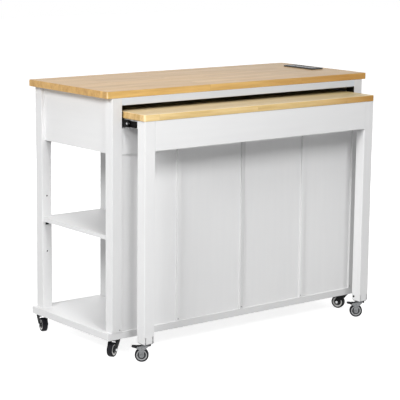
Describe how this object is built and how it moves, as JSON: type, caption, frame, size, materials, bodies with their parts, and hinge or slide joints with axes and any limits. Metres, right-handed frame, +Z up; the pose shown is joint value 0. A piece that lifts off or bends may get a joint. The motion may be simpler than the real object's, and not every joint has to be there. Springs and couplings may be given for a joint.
{
  "type": "kitchen island",
  "caption": "Rolling kitchen island: white cabinet with end shelves and doors, wooden worktop with a power outlet, and a wooden table on braked casters that slides out of it.",
  "frame": {"origin": "on the floor under the middle of the island's bounding box, with the table pulled out as stored", "axes": "+X along the worktop with the power outlet at the +X end, +Y from the table towards the doors, +Z up"},
  "size_m": [1.2, 0.618, 0.925],
  "materials": {
    "white_paint": "satin white paint",
    "oak_top": "satin lacquer",
    "black_steel": "semi-gloss",
    "zinc_steel": "zinc plated",
    "tyre_rubber": "matte",
    "brake_plastic": "fine texture",
    "outlet_plastic": "gloss"
  },
  "bodies": {
    "cabinet": {"main_top": "oak_top", "leg_near_left": "white_paint", "leg_near_right": "white_paint", "leg_far_left": "white_paint", "leg_far_right": "white_paint", "bottom_board": "white_paint", "apron_left": "white_paint", "apron_right": "white_paint", "apron_far": "white_paint", "slot_rail_upper": "white_paint", "slot_rail_lower": "white_paint", "bay_floor": "white_paint", "runner_boards": "white_paint", "partition_left": "white_paint", "partition_centre": "white_paint", "partition_right": "white_paint", "back_panels": "white_paint", "side_shelf_left": "white_paint", "side_shelf_right": "white_paint", "cabinet_shelves": "white_paint", "shelf_pins": "black_steel", "cabinet_screws": "black_steel", "hinge_plates": "zinc_steel", "door_catches": "brake_plastic", "outlet_housing": "outlet_plastic", "outlet_faceplate": "outlet_plastic", "slide_outer_members": "black_steel", "caster_plates_main": "black_steel", "caster_screws_main": "zinc_steel"},
    "leaf": {"leaf_top": "oak_top", "leaf_leg_left": "white_paint", "leaf_leg_right": "white_paint", "leaf_apron": "white_paint", "leaf_side_rails": "white_paint", "leaf_rear_rail": "white_paint", "leaf_screws": "zinc_steel", "slide_inner_members": "black_steel", "caster_plates_leaf": "zinc_steel"},
    "slide_middle": {"slide_middle_members": "black_steel"},
    "door_left": {"door_left": "white_paint", "door_left_handle": "black_steel", "door_left_hinges": "zinc_steel"},
    "door_right": {"door_right": "white_paint", "door_right_handle": "black_steel", "door_right_hinges": "zinc_steel"},
    "swivel_near_left": {"caster_fork_near_left": "black_steel"},
    "wheel_near_left": {"caster_wheel_near_left": "tyre_rubber"},
    "swivel_near_right": {"caster_fork_near_right": "black_steel"},
    "wheel_near_right": {"caster_wheel_near_right": "tyre_rubber"},
    "swivel_far_left": {"caster_fork_far_left": "black_steel"},
    "wheel_far_left": {"caster_wheel_far_left": "tyre_rubber"},
    "swivel_far_right": {"caster_fork_far_right": "black_steel"},
    "wheel_far_right": {"caster_wheel_far_right": "tyre_rubber"},
    "swivel_leaf_left": {"caster_fork_leaf_left": "zinc_steel"},
    "wheel_leaf_left": {"caster_wheel_leaf_left": "tyre_rubber"},
    "swivel_leaf_right": {"caster_fork_leaf_right": "zinc_steel"},
    "wheel_leaf_right": {"caster_wheel_leaf_right": "tyre_rubber"},
    "brake_leaf_left": {"brake_pedal_leaf_left": "brake_plastic"},
    "brake_leaf_right": {"brake_pedal_leaf_right": "brake_plastic"}
  },
  "joints": [
    {"name": "leaf_slide", "type": "slide", "parent": "cabinet", "child": "leaf", "axis": [0, -1, 0], "range_m": [-0.072, 0.278]},
    {"name": "slide_middle_slide", "type": "slide", "parent": "cabinet", "child": "slide_middle", "axis": [0, -1, 0], "range_m": [-0.036, 0.139]},
    {"name": "door_left_hinge", "type": "hinge", "parent": "cabinet", "child": "door_left", "pos_m": [-0.2829, 0.2845, 0.396], "axis": [0, 0, 1], "range_deg": [0, 105]},
    {"name": "door_right_hinge", "type": "hinge", "parent": "cabinet", "child": "door_right", "pos_m": [0.2829, 0.2845, 0.396], "axis": [0, 0, -1], "range_deg": [0, 105]},
    {"name": "swivel_near_left", "type": "hinge", "parent": "cabinet", "child": "swivel_near_left", "pos_m": [-0.545, -0.159, 0.025], "axis": [0, 0, 1], "continuous": true},
    {"name": "wheel_near_left_spin", "type": "hinge", "parent": "swivel_near_left", "child": "wheel_near_left", "pos_m": [-0.56354, -0.16886, 0.025], "axis": [0.4695, -0.8829, 0], "continuous": true},
    {"name": "swivel_near_right", "type": "hinge", "parent": "cabinet", "child": "swivel_near_right", "pos_m": [0.545, -0.159, 0.025], "axis": [0, 0, 1], "continuous": true},
    {"name": "wheel_near_right_spin", "type": "hinge", "parent": "swivel_near_right", "child": "wheel_near_right", "pos_m": [0.53579, -0.14012, 0.025], "axis": [-0.8988, -0.4384, 0], "continuous": true},
    {"name": "swivel_far_left", "type": "hinge", "parent": "cabinet", "child": "swivel_far_left", "pos_m": [-0.569, 0.27, 0.025], "axis": [0, 0, 1], "continuous": true},
    {"name": "wheel_far_left_spin", "type": "hinge", "parent": "swivel_far_left", "child": "wheel_far_left", "pos_m": [-0.57444, 0.24972, 0.025], "axis": [0.9659, -0.2588, 0], "continuous": true},
    {"name": "swivel_far_right", "type": "hinge", "parent": "cabinet", "child": "swivel_far_right", "pos_m": [0.569, 0.27, 0.025], "axis": [0, 0, 1], "continuous": true},
    {"name": "wheel_far_right_spin", "type": "hinge", "parent": "swivel_far_right", "child": "wheel_far_right", "pos_m": [0.57444, 0.24972, 0.025], "axis": [0.9659, 0.2588, 0], "continuous": true},
    {"name": "swivel_leaf_left", "type": "hinge", "parent": "leaf", "child": "swivel_leaf_left", "pos_m": [-0.507, -0.2865, 0.024], "axis": [0, 0, 1], "continuous": true},
    {"name": "wheel_leaf_left_spin", "type": "hinge", "parent": "swivel_leaf_left", "child": "wheel_leaf_left", "pos_m": [-0.51716, -0.27839, 0.024], "axis": [-0.6239, -0.7815, 0], "continuous": true},
    {"name": "brake_leaf_left_press", "type": "hinge", "parent": "swivel_leaf_left", "child": "brake_leaf_left", "pos_m": [-0.52654, -0.2709, 0.0519], "axis": [-0.6239, -0.7815, 0], "range_deg": [0, 20]},
    {"name": "swivel_leaf_right", "type": "hinge", "parent": "leaf", "child": "swivel_leaf_right", "pos_m": [0.507, -0.2865, 0.024], "axis": [0, 0, 1], "continuous": true},
    {"name": "wheel_leaf_right_spin", "type": "hinge", "parent": "swivel_leaf_right", "child": "wheel_leaf_right", "pos_m": [0.49684, -0.27839, 0.024], "axis": [-0.6239, -0.7815, 0], "continuous": true},
    {"name": "brake_leaf_right_press", "type": "hinge", "parent": "swivel_leaf_right", "child": "brake_leaf_right", "pos_m": [0.48746, -0.2709, 0.0519], "axis": [-0.6239, -0.7815, 0], "range_deg": [0, 20]}
  ],
  "couplings": [
    {"joint": "slide_middle_slide", "follows": "leaf_slide", "ratio": 0.5}
  ]
}
